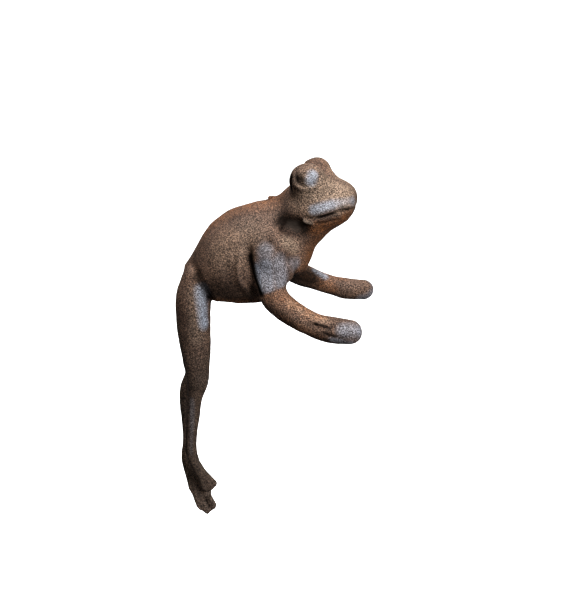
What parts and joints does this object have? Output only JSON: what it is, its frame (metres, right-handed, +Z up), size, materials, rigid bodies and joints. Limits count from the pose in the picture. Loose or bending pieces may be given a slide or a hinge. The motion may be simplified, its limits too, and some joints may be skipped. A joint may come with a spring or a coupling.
{
  "type": "hanging frog figurine",
  "caption": "Cast-iron frog that hangs on a rim: flat belly seat, arms reaching forward, legs dangling behind, hollow body in two screwed halves.",
  "frame": {"origin": "middle of the flat belly seat, on the plane between the two halves", "axes": "+X forward (the way the frog looks), +Y to the frog's left, +Z up"},
  "size_m": [0.1082, 0.0924, 0.2053],
  "materials": {
    "rusty_cast_iron": "sand-cast, rust brown, waxed on the high spots",
    "screw_steel": "dull, lightly rusted"
  },
  "bodies": {
    "root": {"right_half": "rusty_cast_iron", "left_half": "rusty_cast_iron", "shoulder_screw": "screw_steel", "rump_screw": "screw_steel"}
  },
  "joints": []
}
